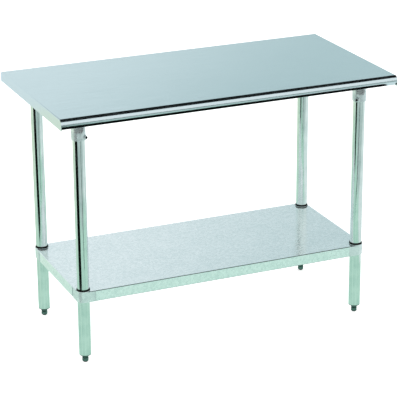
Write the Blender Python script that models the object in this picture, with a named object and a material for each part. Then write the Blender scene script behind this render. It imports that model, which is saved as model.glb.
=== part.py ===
"""Work table for a restaurant kitchen: stainless top with rolled rims on four galvanised tube legs, with an undershelf
that clamps to the legs and a levelling foot in each leg. Metres, +Z up, front towards -Y. The origin is on the floor,
under the middle of the top."""

import math

import bmesh
import bpy
from mathutils import Matrix, Vector

# Overall
table_length = 1.2192
table_depth = 0.635
table_height = 0.9017
touch_gap = 0.0003
bend_steps = 4
sharp_angle = 35

# Worktop: one sheet, rolled under along the front and rear, folded down at the ends
top_sheet = 0.0015
rim_radius = 0.018
rim_lip = 0.006
end_bend_radius = 0.0025
rim_steps = 14

# Legs
leg_diameter = 0.0413
leg_wall = 0.0015
leg_inset_x = 0.0921
leg_inset_y = 0.1015
round_steps = 32

# Hat channels under the worktop
channel_sheet = 0.0015
channel_height = 0.028
channel_web = 0.064
channel_flange = 0.018
channel_end_gap = 0.0015

# Leg sockets, welded under the cross channels
socket_wall = 0.003
socket_clearance = 0.0004
socket_drop = 0.070
socket_plate = 0.004
socket_plate_length = 0.084
socket_edge = 0.002

# Undershelf: one pan with its sides folded down and hemmed inwards
shelf_height = 0.2645
shelf_sheet = 0.0012
shelf_side = 0.038
shelf_hem = 0.010
shelf_bend_radius = 0.0025
shelf_channel_height = 0.025
shelf_channel_web = 0.050
shelf_channel_flange = 0.015
shelf_channel_end_gap = 0.004

# Corner brackets, cast, one round each leg
bracket_wall = 0.003
bracket_clearance = 0.0004
bracket_reach = 0.036
bracket_wing = 0.0045
bracket_tab = 0.026
bracket_proud = 0.001
bracket_mouth = 0.0015
bracket_notch_gap = 0.0008

# Set screws
screw_diameter = 0.008
screw_length = 0.010
screw_hex = 0.004
screw_hex_depth = 0.005
screw_point = 0.0015
screw_clearance = 0.0003
boss_diameter = 0.015
boss_height = 0.0045
boss_sink = 0.0015
socket_screw_rise = 0.009
screw_steps = 16

# Levelling feet
foot_reach = 0.030
insert_grip = 0.030
insert_collar = 0.0055
insert_band = 0.0014
insert_nose_diameter = 0.026
stud_diameter = 0.0127
stud_length = 0.046
stud_clearance = 0.0003
foot_start_gap = 0.0015
foot_hex = 0.020
foot_nut_height = 0.0045
foot_neck_diameter = 0.015
foot_neck_height = 0.002
glide_height = 0.0035
glide_rim = 0.0012
glide_diameter = 0.017
glide_face_diameter = 0.011
glide_peg_diameter = 0.006
glide_peg_height = 0.005
foot_steps = 24

# What follows from them
leg_radius = leg_diameter / 2
leg_x = table_length / 2 - leg_inset_x
leg_y = table_depth / 2 - leg_inset_y
rim_height = 2 * rim_radius
lip_end_y = table_depth / 2 - rim_radius - rim_lip
channel_top = table_height - top_sheet - touch_gap
channel_bottom = channel_top - channel_height
socket_top = channel_bottom - touch_gap
socket_radius = leg_radius + socket_clearance + socket_wall
socket_bottom = socket_top - socket_plate - socket_drop
leg_top = socket_top - socket_plate - touch_gap
leg_bottom = foot_reach
bracket_radius = leg_radius + bracket_clearance + bracket_wall
shelf_x = leg_x + bracket_radius
shelf_y = leg_y + bracket_radius
foot_top = foot_reach - insert_collar - foot_start_gap

axes = {"X": Vector((1, 0, 0)), "Y": Vector((0, 1, 0)), "Z": Vector((0, 0, 1))}
corners = [
    ("front_left", -1, -1),
    ("front_right", 1, -1),
    ("rear_right", 1, 1),
    ("rear_left", -1, 1),
]


def clear_scene():
    for old in list(bpy.data.objects):
        bpy.data.objects.remove(old, do_unlink=True)


def finish(name, colour, roughness, metallic):
    material = bpy.data.materials.new(name)
    material.use_nodes = True
    shader = material.node_tree.nodes["Principled BSDF"]
    shader.inputs["Base Color"].default_value = (*colour, 1)
    shader.inputs["Roughness"].default_value = roughness
    shader.inputs["Metallic"].default_value = metallic
    return material


def mesh_from(bm):
    bmesh.ops.recalc_face_normals(bm, faces=bm.faces)
    mesh = bpy.data.meshes.new("shape")
    bm.to_mesh(mesh)
    bm.free()
    return mesh


def prism(outline, low, high, axis):
    """A solid with a flat outline across the axis, from low to high along it. The outline's two numbers are the
    other two coordinates, in X, Y, Z order."""
    across = [index for index, name in enumerate("XYZ") if name != axis]
    bm = bmesh.new()
    verts = []
    for pair in outline:
        point = axes[axis] * low
        point[across[0]], point[across[1]] = pair
        verts.append(bm.verts.new(point))
    face = bm.faces.new(verts)
    grown = bmesh.ops.extrude_face_region(bm, geom=[face])["geom"]
    moved = [item for item in grown if isinstance(item, bmesh.types.BMVert)]
    bmesh.ops.translate(bm, verts=moved, vec=axes[axis] * (high - low))
    return mesh_from(bm)


def block(low, high):
    outline = [(low[0], low[1]), (high[0], low[1]), (high[0], high[1]), (low[0], high[1])]
    return prism(outline, low[2], high[2], "Z")


def turned(profile, steps, closed=True):
    """A solid turned round the Z axis from (radius, height) points. An open profile starts and ends on the axis."""
    bm = bmesh.new()
    verts = [bm.verts.new((radius, 0, height)) for radius, height in profile]
    pairs = list(zip(verts, verts[1:]))
    if closed:
        pairs.append((verts[-1], verts[0]))
    edges = [bm.edges.new(pair) for pair in pairs]
    bmesh.ops.spin(
        bm, geom=verts + edges, axis=(0, 0, 1), cent=(0, 0, 0), angle=2 * math.pi, steps=steps, use_merge=True
    )
    bmesh.ops.remove_doubles(bm, verts=bm.verts, dist=1e-6)
    return mesh_from(bm)


def hexagon(across_flats):
    radius = across_flats / math.sqrt(3)
    return [(radius * math.cos(math.pi * i / 3), radius * math.sin(math.pi * i / 3)) for i in range(6)]


def arc(centre, radius, first, last, steps):
    """Points on an arc, with angles in degrees."""
    points = []
    for i in range(steps + 1):
        angle = math.radians(first + (last - first) * i / steps)
        points.append((centre[0] + radius * math.cos(angle), centre[1] + radius * math.sin(angle)))
    return points


def combined(base, tools, operation):
    """The base mesh after a Boolean with each tool mesh in turn."""
    body = bpy.data.objects.new("body", base)
    bpy.context.collection.objects.link(body)
    helpers = []
    for tool in tools:
        helper = bpy.data.objects.new("helper", tool)
        bpy.context.collection.objects.link(helper)
        step = body.modifiers.new(operation, "BOOLEAN")
        step.operation = operation
        step.solver = "EXACT"
        step.object = helper
        helpers.append(helper)
    graph = bpy.context.evaluated_depsgraph_get()
    mesh = bpy.data.meshes.new_from_object(body.evaluated_get(graph))
    for used in [body, *helpers]:
        bpy.data.objects.remove(used, do_unlink=True)
    return mesh


def moved(mesh, matrix):
    mesh.transform(matrix)
    return mesh


def place(name, mesh, material, location=(0, 0, 0), turn=0, parent=None):
    """Puts a finished shape in the scene as a named piece, turned in degrees about Z."""
    mesh.name = name
    mesh.materials.clear()
    mesh.materials.append(material)
    mesh.shade_smooth()
    mesh.set_sharp_from_angle(angle=math.radians(sharp_angle))
    piece = bpy.data.objects.new(name, mesh)
    piece.location = location
    piece.rotation_euler = (0, 0, math.radians(turn))
    piece.parent = parent
    bpy.context.collection.objects.link(piece)
    return piece


def hub(name, location, parent=None):
    empty = bpy.data.objects.new(name, None)
    empty.location = location
    empty.parent = parent
    bpy.context.collection.objects.link(empty)
    return empty


def worktop_shape():
    """The sheet's section, run from end to end, with a plate that closes each end and the rims' ends."""
    flat_y = table_depth / 2 - rim_radius
    centre = (flat_y, table_height - rim_radius)
    outer = arc(centre, rim_radius, -90, 90, rim_steps)
    inner = arc(centre, rim_radius - top_sheet, 90, -90, rim_steps)
    lip_low = (lip_end_y, table_height - rim_height)
    lip_high = (lip_end_y, table_height - rim_height + top_sheet)
    rear_outer = [lip_low] + outer
    rear_inner = inner + [lip_high]
    front_outer = [(-y, z) for y, z in reversed(rear_outer)]
    front_inner = [(-y, z) for y, z in reversed(rear_inner)]
    section = rear_outer + front_outer + front_inner + rear_inner
    half = table_length / 2
    sheet = prism(section, -half + top_sheet / 2, half - top_sheet / 2, "X")
    shoulder = arc(centre, rim_radius, 0, 90, rim_steps // 2)
    side = [(table_depth / 2, table_height - rim_height)] + shoulder
    plate = side + [(-y, z) for y, z in reversed(side)]
    plates = [prism(plate, -half, -half + top_sheet, "X"), prism(plate, half - top_sheet, half, "X")]
    whole = combined(sheet, plates, "UNION")
    below = table_height - rim_height - rim_radius
    beyond = table_depth / 2 + rim_radius
    bend = arc((half - end_bend_radius, table_height - end_bend_radius), end_bend_radius, 0, 90, bend_steps)
    right = [(half, below)] + bend
    envelope = prism(right + [(-x, z) for x, z in reversed(right)], -beyond, beyond, "Y")
    return combined(whole, [envelope], "INTERSECT")


def hat_outline(web, height, flange, sheet):
    """Section of a hat channel hung from z = 0: flanges at the top, web at the bottom."""
    half = web / 2
    right = [
        (half, -height),
        (half, -sheet),
        (half + flange, -sheet),
        (half + flange, 0),
        (half - sheet, 0),
        (half - sheet, -height + sheet),
    ]
    return right + [(-a, b) for a, b in reversed(right)]


def top_channels(steel):
    outline = hat_outline(channel_web, channel_height, channel_flange, channel_sheet)
    reach = lip_end_y - channel_end_gap
    for name, x in (("left", -leg_x), ("right", leg_x)):
        shape = prism(outline, -reach, reach, "Y")
        place(f"top_cross_channel_{name}", shape, steel, (x, 0, channel_top))
    reach = leg_x - channel_web / 2 - channel_flange - channel_end_gap
    shape = prism(outline, -reach, reach, "X")
    place("top_long_channel", shape, steel, (0, 0, channel_top))


def set_screw_shape():
    """A socket set screw along +X, its point at the origin."""
    radius = screw_diameter / 2
    profile = [
        (0, screw_length),
        (radius, screw_length),
        (radius, screw_point),
        (radius - screw_point, 0),
        (0, 0),
    ]
    body = turned(profile, screw_steps, closed=False)
    key = prism(hexagon(screw_hex), screw_length - screw_hex_depth, 2 * screw_length, "Z")
    return moved(combined(body, [key], "DIFFERENCE"), Matrix.Rotation(math.pi / 2, 4, "Y"))


def boss_and_hole(ring_radius, height, angle):
    """A boss that stands out of a ring at a height and an angle in degrees, and the hole through both."""
    facing = Matrix.Rotation(math.radians(angle), 4, "Z")
    upright = Matrix.Translation((0, 0, height)) @ facing @ Matrix.Rotation(math.pi / 2, 4, "Y")
    outline = arc((0, 0), boss_diameter / 2, 0, 360, screw_steps)[:-1]
    boss = moved(prism(outline, ring_radius - boss_sink, ring_radius + boss_height, "Z"), upright)
    outline = arc((0, 0), screw_diameter / 2 + screw_clearance, 0, 360, screw_steps)[:-1]
    hole = moved(prism(outline, leg_radius / 2, ring_radius + 2 * boss_height, "Z"), upright)
    return boss, hole


def socket_shape(boss_angle):
    """Hangs from z = 0: a plate for the channel's web, and a sleeve for the leg with a boss for its set screw."""
    bore = leg_radius + socket_clearance
    bottom = socket_bottom - socket_top
    profile = [
        (socket_radius, -socket_plate / 2),
        (socket_radius, bottom + socket_edge),
        (socket_radius - socket_edge, bottom),
        (bore, bottom),
        (bore, -socket_plate / 2),
    ]
    sleeve = turned(profile, round_steps)
    half_x = channel_web / 2
    half_y = socket_plate_length / 2
    plate = block((-half_x, -half_y, -socket_plate), (half_x, half_y, 0))
    boss, hole = boss_and_hole(socket_radius, bottom + socket_screw_rise, boss_angle)
    return combined(combined(sleeve, [plate, boss], "UNION"), [hole], "DIFFERENCE")


def bracket_shape():
    """Corner bracket about the leg's axis, its top at z = 0 and its outer faces towards -X and -Y."""
    ring_bore = leg_radius + bracket_clearance
    low = -shelf_side
    wing_top = -shelf_sheet - touch_gap
    profile = [
        (bracket_radius, bracket_proud),
        (bracket_radius, low),
        (ring_bore, low),
        (ring_bore, bracket_proud - bracket_mouth),
        (ring_bore + bracket_mouth, bracket_proud),
    ]
    ring = turned(profile, round_steps)
    pieces = []
    tab_face = bracket_radius - shelf_sheet - touch_gap
    tab_back = bracket_radius - bracket_wing
    hem_clear = low + shelf_sheet + touch_gap
    for flip in (False, True):
        wing_low = (0, -bracket_radius, low)
        wing_high = (bracket_reach, -tab_back, wing_top)
        tab_low = (bracket_reach - bracket_wall, -tab_face, hem_clear)
        tab_high = (bracket_reach + bracket_tab, -tab_back, wing_top)
        for near, far in ((wing_low, wing_high), (tab_low, tab_high)):
            shape = block(near, far)
            if flip:
                shape.transform(Matrix(((0, 1, 0, 0), (1, 0, 0, 0), (0, 0, 1, 0), (0, 0, 0, 1))))
                shape.flip_normals()
            pieces.append(shape)
    boss, hole = boss_and_hole(bracket_radius, low / 2, 45)
    bore_profile = [(0, -low), (ring_bore, -low), (ring_bore, 2 * low), (0, 2 * low)]
    bore = turned(bore_profile, round_steps, closed=False)
    joined = combined(combined(ring, pieces, "UNION"), [boss], "UNION")
    return combined(joined, [bore, hole], "DIFFERENCE")


def shelf_shape():
    """The pan, its top face at z = 0: a sheet with notched corners, and four sides that end at the brackets."""
    notch = 2 * bracket_radius + bracket_notch_gap
    inner_x = shelf_x - notch
    inner_y = shelf_y - notch
    outline = [
        (shelf_x, -inner_y),
        (shelf_x, inner_y),
        (inner_x, inner_y),
        (inner_x, shelf_y),
        (-inner_x, shelf_y),
        (-inner_x, inner_y),
        (-shelf_x, inner_y),
        (-shelf_x, -inner_y),
        (-inner_x, -inner_y),
        (-inner_x, -shelf_y),
        (inner_x, -shelf_y),
        (inner_x, -inner_y),
    ]
    sheet = prism(outline, -shelf_sheet, 0, "Z")
    sides = []
    reach = bracket_reach + touch_gap
    for axis, edge, end in (("X", shelf_y, leg_x - reach), ("Y", shelf_x, leg_y - reach)):
        for way in (-1, 1):
            angle = [
                (way * edge, -shelf_sheet / 2),
                (way * edge, -shelf_side),
                (way * (edge - shelf_hem), -shelf_side),
                (way * (edge - shelf_hem), -shelf_side + shelf_sheet),
                (way * (edge - shelf_sheet), -shelf_side + shelf_sheet),
                (way * (edge - shelf_sheet), -shelf_sheet / 2),
            ]
            stop = end - shelf_hem * (axis == "Y")
            sides.append(prism(angle, -stop, stop, axis))
    pan = combined(sheet, sides, "UNION")
    right = [(shelf_x, -2 * shelf_side)] + arc(
        (shelf_x - shelf_bend_radius, -shelf_bend_radius), shelf_bend_radius, 0, 90, bend_steps
    )
    far = [(shelf_y, -2 * shelf_side)] + arc(
        (shelf_y - shelf_bend_radius, -shelf_bend_radius), shelf_bend_radius, 0, 90, bend_steps
    )
    lengthwise = prism(right + [(-a, z) for a, z in reversed(right)], -table_depth, table_depth, "Y")
    crosswise = prism(far + [(-a, z) for a, z in reversed(far)], -table_length, table_length, "X")
    return combined(pan, [lengthwise, crosswise], "INTERSECT")


def leg_shape():
    inner = leg_radius - leg_wall
    profile = [(leg_radius, leg_top), (leg_radius, leg_bottom), (inner, leg_bottom), (inner, leg_top)]
    return turned(profile, round_steps)


def insert_shape():
    """Plug in the leg's end, with a tapered collar below it and a bore for the stud."""
    plug = leg_radius - leg_wall - touch_gap
    bore = stud_diameter / 2 + stud_clearance
    seat = leg_bottom - touch_gap
    nose = foot_reach - insert_collar
    profile = [
        (plug, leg_bottom + insert_grip),
        (plug, seat),
        (leg_radius, seat),
        (leg_radius, seat - insert_band),
        (insert_nose_diameter / 2, nose),
        (bore, nose),
        (bore, leg_bottom + insert_grip),
    ]
    return turned(profile, round_steps)


def foot_screw_shape():
    """Stud, nut and hexagonal foot in one, with a recess below for the glide's peg."""
    nut_low = foot_top - foot_nut_height
    neck_low = nut_low - foot_neck_height
    foot_low = glide_height + touch_gap
    radius = stud_diameter / 2
    core = [
        (0, foot_top + stud_length),
        (radius - screw_point, foot_top + stud_length),
        (radius, foot_top + stud_length - screw_point),
        (radius, nut_low + foot_nut_height / 2),
        (foot_neck_diameter / 2, nut_low + foot_nut_height / 2),
        (foot_neck_diameter / 2, neck_low - foot_neck_height),
        (0, neck_low - foot_neck_height),
    ]
    stud = turned(core, foot_steps, closed=False)
    nut = prism(hexagon(foot_hex), nut_low, foot_top, "Z")
    foot = prism(hexagon(foot_hex), foot_low, neck_low, "Z")
    recess = prism(
        arc((0, 0), glide_peg_diameter / 2 + touch_gap, 0, 360, screw_steps)[:-1],
        0,
        glide_height + glide_peg_height + touch_gap,
        "Z",
    )
    return combined(combined(stud, [nut, foot], "UNION"), [recess], "DIFFERENCE")


def glide_shape():
    """Nylon pad under the foot, its face on the floor and its peg up."""
    peg = glide_peg_diameter / 2
    rim = glide_diameter / 2
    profile = [
        (0, glide_height + glide_peg_height),
        (peg, glide_height + glide_peg_height),
        (peg, glide_height),
        (rim, glide_height),
        (rim, glide_height - glide_rim),
        (glide_face_diameter / 2, 0),
        (0, 0),
    ]
    return turned(profile, foot_steps, closed=False)


def main():
    clear_scene()
    stainless = finish("brushed_stainless", (0.60, 0.66, 0.67), 0.28, 1)
    galvanised = finish("galvanised_sheet", (0.66, 0.71, 0.72), 0.42, 1)
    tube = finish("galvanised_tube", (0.58, 0.66, 0.63), 0.25, 1)
    casting = finish("cast_zinc", (0.62, 0.67, 0.66), 0.4, 1)
    dark_zinc = finish("dark_zinc", (0.12, 0.19, 0.17), 0.4, 1)
    screw_steel = finish("black_screw_steel", (0.05, 0.05, 0.05), 0.45, 1)
    nylon = finish("black_nylon", (0.02, 0.02, 0.02), 0.5, 0)

    place("worktop", worktop_shape(), stainless)
    top_channels(galvanised)

    shelf_hub = hub("shelf_carriage", (0, 0, shelf_height))
    place("shelf_pan", shelf_shape(), galvanised, parent=shelf_hub)
    outline = hat_outline(shelf_channel_web, shelf_channel_height, shelf_channel_flange, channel_sheet)
    reach = shelf_x - shelf_hem - shelf_channel_end_gap
    shape = prism(outline, -reach, reach, "X")
    place("shelf_channel", shape, galvanised, (0, 0, -shelf_sheet - touch_gap), parent=shelf_hub)

    bracket = bracket_shape()
    leg = leg_shape()
    insert = insert_shape()
    foot_screw = foot_screw_shape()
    glide = glide_shape()
    set_screw = set_screw_shape()
    screw_start = leg_radius + touch_gap
    for index, (corner, side, end) in enumerate(corners):
        x = side * leg_x
        y = end * leg_y
        facing = math.degrees(math.atan2(end, -side))
        towards = Vector((math.cos(math.radians(facing)), math.sin(math.radians(facing)), 0))
        screw_z = socket_bottom + socket_screw_rise
        place(f"leg_{corner}", leg.copy(), tube, (x, y, 0))
        place(f"leg_socket_{corner}", socket_shape(facing), casting, (x, y, socket_top))
        screw_at = Vector((x, y, screw_z)) + towards * screw_start
        place(f"socket_set_screw_{corner}", set_screw.copy(), screw_steel, screw_at, facing)

        inward = math.radians(90 * index + 45)
        towards = Vector((math.cos(inward), math.sin(inward), 0))
        place(f"shelf_bracket_{corner}", bracket.copy(), casting, (x, y, 0), 90 * index, shelf_hub)
        screw_at = Vector((x, y, -shelf_side / 2)) + towards * screw_start
        place(f"bracket_set_screw_{corner}", set_screw.copy(), screw_steel, screw_at, 90 * index + 45, shelf_hub)

        foot_hub = hub(f"foot_axis_{corner}", (x, y, 0))
        place(f"foot_insert_{corner}", insert.copy(), dark_zinc, (x, y, 0))
        place(f"foot_screw_{corner}", foot_screw.copy(), dark_zinc, parent=foot_hub)
        place(f"foot_glide_{corner}", glide.copy(), nylon, parent=foot_hub)


main()
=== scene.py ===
import math

import bmesh
import bpy
from mathutils import Matrix, Vector


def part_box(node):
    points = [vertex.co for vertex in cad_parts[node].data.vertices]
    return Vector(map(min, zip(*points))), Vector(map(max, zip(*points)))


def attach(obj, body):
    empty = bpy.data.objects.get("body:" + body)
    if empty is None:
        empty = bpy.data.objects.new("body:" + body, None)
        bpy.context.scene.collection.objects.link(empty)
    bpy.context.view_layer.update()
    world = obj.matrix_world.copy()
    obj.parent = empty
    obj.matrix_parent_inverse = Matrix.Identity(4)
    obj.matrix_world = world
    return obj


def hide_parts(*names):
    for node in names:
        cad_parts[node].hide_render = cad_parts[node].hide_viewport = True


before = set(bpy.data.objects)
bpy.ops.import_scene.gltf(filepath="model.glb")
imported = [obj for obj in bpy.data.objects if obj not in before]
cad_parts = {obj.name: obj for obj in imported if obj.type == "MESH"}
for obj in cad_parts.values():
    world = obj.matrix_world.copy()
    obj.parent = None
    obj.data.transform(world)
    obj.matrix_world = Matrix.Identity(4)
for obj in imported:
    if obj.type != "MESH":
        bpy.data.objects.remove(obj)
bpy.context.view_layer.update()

mm = 0.001
cornerSides = {
    "front_left": (-1, -1),
    "front_right": (1, -1),
    "rear_right": (1, 1),
    "rear_left": (-1, 1),
}


def arcPoints(centre, radius, first, last, steps):
    # angles in degrees, anticlockwise from the first axis
    points = []
    for step in range(steps + 1):
        angle = math.radians(first + (last - first) * step / steps)
        points.append((centre[0] + radius * math.cos(angle), centre[1] + radius * math.sin(angle)))
    return points


def roundedOutline(corners, steps=6):
    # corners are (a, b, radius): each one becomes an arc that runs into its two sides
    outline = []
    for index, (a, b, radius) in enumerate(corners):
        here = Vector((a, b))
        if not radius:
            outline.append((a, b))
            continue
        before = (Vector(corners[index - 1][:2]) - here).normalized()
        after = (Vector(corners[(index + 1) % len(corners)][:2]) - here).normalized()
        half = before.angle(after) / 2
        centre = here + (before + after).normalized() * (radius / math.sin(half))
        start = here + before * (radius / math.tan(half)) - centre
        end = here + after * (radius / math.tan(half)) - centre
        first = math.atan2(start.y, start.x)
        sweep = (math.atan2(end.y, end.x) - first + math.pi) % (2 * math.pi) - math.pi
        outline += arcPoints(centre, radius, math.degrees(first), math.degrees(first + sweep), steps)
    return outline


def mirrored(points):
    return [(-point[0], *point[1:]) for point in reversed(points)]


def closeMesh(bm):
    bmesh.ops.recalc_face_normals(bm, faces=bm.faces)
    mesh = bpy.data.meshes.new("shape")
    bm.to_mesh(mesh)
    bm.free()
    return mesh


def prismMesh(outline, low, high, axis="Z", edge=0, edgeSteps=2):
    # a flat outline drawn across the axis and pulled along it, with the edges of both ends rounded
    index = "XYZ".index(axis)
    across = [other for other in range(3) if other != index]
    bm = bmesh.new()
    verts = []
    for pair in outline:
        point = [0, 0, 0]
        point[index] = low
        point[across[0]], point[across[1]] = pair
        verts.append(bm.verts.new(point))
    face = bm.faces.new(verts)
    pull = [0, 0, 0]
    pull[index] = high - low
    grown = bmesh.ops.extrude_face_region(bm, geom=[face])["geom"]
    bmesh.ops.translate(bm, verts=[item for item in grown if isinstance(item, bmesh.types.BMVert)],
                        vec=pull)
    if edge:
        rims = [e for e in bm.edges if abs(e.verts[0].co[index] - e.verts[1].co[index]) < 1e-7]
        bmesh.ops.bevel(bm, geom=rims, offset=edge, segments=edgeSteps, profile=0.5, affect="EDGES")
    return closeMesh(bm)


def turnedMesh(profile, steps, closed=True):
    # (radius, height) points turned round Z; an open profile starts and ends on the axis
    bm = bmesh.new()
    verts = [bm.verts.new((radius, 0, height)) for radius, height in profile]
    pairs = list(zip(verts, verts[1:]))
    if closed:
        pairs.append((verts[-1], verts[0]))
    edges = [bm.edges.new(pair) for pair in pairs]
    bmesh.ops.spin(bm, geom=verts + edges, axis=(0, 0, 1), cent=(0, 0, 0), angle=2 * math.pi, steps=steps,
                   use_merge=True)
    bmesh.ops.remove_doubles(bm, verts=bm.verts, dist=1e-6)
    return closeMesh(bm)


def combineMeshes(base, tools, operation):
    body = bpy.data.objects.new("combineBody", base)
    bpy.context.scene.collection.objects.link(body)
    helpers = []
    for tool in tools:
        helper = bpy.data.objects.new("combineTool", tool)
        bpy.context.scene.collection.objects.link(helper)
        step = body.modifiers.new(operation, "BOOLEAN")
        step.operation = operation
        step.solver = "EXACT"
        step.object = helper
        helpers.append(helper)
    mesh = bpy.data.meshes.new_from_object(body.evaluated_get(bpy.context.evaluated_depsgraph_get()))
    for used in [body, *helpers]:
        bpy.data.objects.remove(used, do_unlink=True)
    return mesh


def softenEdges(mesh, width, limit=40, steps=2):
    # rounds what is still sharp, the way a deburred or cast edge is
    bm = bmesh.new()
    bm.from_mesh(mesh)
    bmesh.ops.dissolve_limit(bm, angle_limit=math.radians(0.5), verts=bm.verts, edges=bm.edges)
    sharp = [e for e in bm.edges if len(e.link_faces) == 2 and e.calc_face_angle(0) > math.radians(limit)]
    bmesh.ops.bevel(bm, geom=sharp, offset=width, segments=steps, profile=0.5, affect="EDGES",
                    clamp_overlap=True)
    return closeMesh(bm)


def placed(mesh, matrix):
    mesh.transform(matrix)
    return mesh


sharpAngle = 38  # degrees; edges flatter than this are shaded smooth


def addPiece(name, mesh, finishes, body, nodes, location=(0, 0, 0), turn=0):
    mesh.name = name
    mesh.materials.clear()
    for finish in finishes:
        mesh.materials.append(finish)
    mesh.shade_smooth()
    mesh.set_sharp_from_angle(angle=math.radians(sharpAngle))
    piece = bpy.data.objects.new(name, mesh)
    piece.location = location
    piece.rotation_euler = (0, 0, math.radians(turn))
    bpy.context.scene.collection.objects.link(piece)
    shading = piece.modifiers.new("evenShading", "WEIGHTED_NORMAL")
    shading.keep_sharp = True
    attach(piece, body)
    if nodes:
        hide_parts(*nodes)
    return piece


def labelOf(corner):
    return corner.title().replace("_", "")


def middleOf(node):
    low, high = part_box(node)
    return (low + high) / 2


def linearColour(code):
    values = []
    for start in (1, 3, 5):
        value = int(code[start:start + 2], 16) / 255
        values.append(value / 12.92 if value <= 0.04045 else ((value + 0.055) / 1.055) ** 2.4)
    return (*values, 1)


def addNode(tree, kind, settings=None, values=None, links=None):
    # settings are the node's own options, values go on its sockets and links come from other nodes
    node = tree.nodes.new(kind)
    for name, value in (settings or {}).items():
        setattr(node, name, value)
    for name, value in (values or {}).items():
        node.inputs[name].default_value = value
    for name, source in (links or {}).items():
        tree.links.new(source, node.inputs[name])
    return node


def newFinish(name, metallic):
    finish = bpy.data.materials.new(name)
    finish.use_nodes = True
    tree = finish.node_tree
    shader = tree.nodes["Principled BSDF"]
    shader.inputs["Metallic"].default_value = metallic
    return finish, tree, shader


def coverSkin(tree, shader, look, colours, factor, gloss, glossSpan, relief, depth):
    # mixes two colours by one pattern, and follows others for the roughness and the relief
    colour = addNode(tree, "ShaderNodeMix", {"data_type": "RGBA"},
                     {6: linearColour(look[colours[0]]), 7: linearColour(look[colours[1]])},
                     {"Factor": factor})
    tree.links.new(colour.outputs[2], shader.inputs["Base Color"])
    (low, high), (first, last) = look["roughness"], glossSpan
    rough = addNode(tree, "ShaderNodeMapRange",
                    values={"From Min": first, "From Max": last, "To Min": low, "To Max": high},
                    links={"Value": gloss})
    tree.links.new(rough.outputs["Result"], shader.inputs["Roughness"])
    bump = addNode(tree, "ShaderNodeBump", values={"Strength": 1, "Distance": depth},
                   links={"Height": relief})
    tree.links.new(bump.outputs["Normal"], shader.inputs["Normal"])
    return colour.outputs[2]


stainless = {
    "base": "#d6e6ea",
    "dull": "#cadce1",
    "grainWidth": 1.4 * mm,  # real grit lines are about 0.1 mm, too fine to show
    "grainLength": 160 * mm,
    "hairWidth": 0.5 * mm,
    "hairLength": 60 * mm,
    "wipeSize": 190 * mm,
    "roughness": (0.12, 0.2),
    "grainDepth": 0.004 * mm,
    "swellSize": 420 * mm,
    "swellDepth": 0.12 * mm,
}


def brushedStainless(name, grainAxis):
    # AISI 304 sheet with a No. 4 brushed finish: satin, with long fine lines that stretch each reflection
    # across them, faint wipe marks, and the slow swell of a thin sheet that pulls on its bends
    finish, tree, shader = newFinish(name, 1)
    place = addNode(tree, "ShaderNodeTexCoord").outputs["Object"]
    stretch = [1 / stainless["grainWidth"]] * 3
    stretch["XYZ".index(grainAxis)] = 1 / stainless["grainLength"]
    hairStretch = [1 / stainless["hairWidth"]] * 3
    hairStretch["XYZ".index(grainAxis)] = 1 / stainless["hairLength"]
    grainPlace = addNode(tree, "ShaderNodeMapping", values={"Scale": stretch}, links={"Vector": place})
    grain = addNode(tree, "ShaderNodeTexNoise", values={"Scale": 1, "Detail": 3, "Roughness": 0.6},
                    links={"Vector": grainPlace.outputs["Vector"]})
    hairPlace = addNode(tree, "ShaderNodeMapping", values={"Scale": hairStretch}, links={"Vector": place})
    hair = addNode(tree, "ShaderNodeTexNoise", values={"Scale": 1, "Detail": 1},
                   links={"Vector": hairPlace.outputs["Vector"]})
    wipe = addNode(tree, "ShaderNodeTexNoise", values={"Scale": 1 / stainless["wipeSize"], "Detail": 4},
                   links={"Vector": place})
    low, high = stainless["roughness"]
    rough = addNode(tree, "ShaderNodeMapRange",
                    values={"From Min": 0.3, "From Max": 0.7, "To Min": low, "To Max": high},
                    links={"Value": grain.outputs["Fac"]})
    smear = addNode(tree, "ShaderNodeMapRange",
                    values={"From Min": 0.4, "From Max": 0.7, "To Min": 0, "To Max": 0.02},
                    links={"Value": wipe.outputs["Fac"]})
    total = addNode(tree, "ShaderNodeMath", {"operation": "ADD"},
                    links={0: rough.outputs["Result"], 1: smear.outputs["Result"]})
    tree.links.new(total.outputs["Value"], shader.inputs["Roughness"])
    lines = addNode(tree, "ShaderNodeMath", {"operation": "MULTIPLY"},
                    links={0: grain.outputs["Fac"], 1: hair.outputs["Fac"]})
    shade = addNode(tree, "ShaderNodeMapRange", values={"From Min": 0.12, "From Max": 0.42},
                    links={"Value": lines.outputs["Value"]})
    colour = addNode(tree, "ShaderNodeMix", {"data_type": "RGBA"},
                     {6: linearColour(stainless["base"]), 7: linearColour(stainless["dull"])},
                     {"Factor": shade.outputs["Result"]})
    tree.links.new(colour.outputs[2], shader.inputs["Base Color"])
    swell = addNode(tree, "ShaderNodeTexNoise", values={"Scale": 1 / stainless["swellSize"], "Detail": 0},
                    links={"Vector": place})
    sheetBump = addNode(tree, "ShaderNodeBump", values={"Strength": 1, "Distance": stainless["swellDepth"]},
                        links={"Height": swell.outputs["Fac"]})
    grainBump = addNode(tree, "ShaderNodeBump", values={"Strength": 1, "Distance": stainless["grainDepth"]},
                        links={"Height": grain.outputs["Fac"], "Normal": sheetBump.outputs["Normal"]})
    tree.links.new(grainBump.outputs["Normal"], shader.inputs["Normal"])
    return finish


galvanised = {
    "pale": "#f2f8fa",
    "dark": "#d6e3e5",
    # painted shade colour for the bends of the long folds
    "paintedFoldShade": "#5f7674",
    "metallic": 0.9,
    "spangle": 6.5 * mm,
    "frost": 1.2 * mm,
    "cloud": 120 * mm,
    "roughness": (0.09, 0.22),
    "tilt": 0.035,
    "swellSize": 300 * mm,
    "swellDepth": 0.2 * mm,
}


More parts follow.
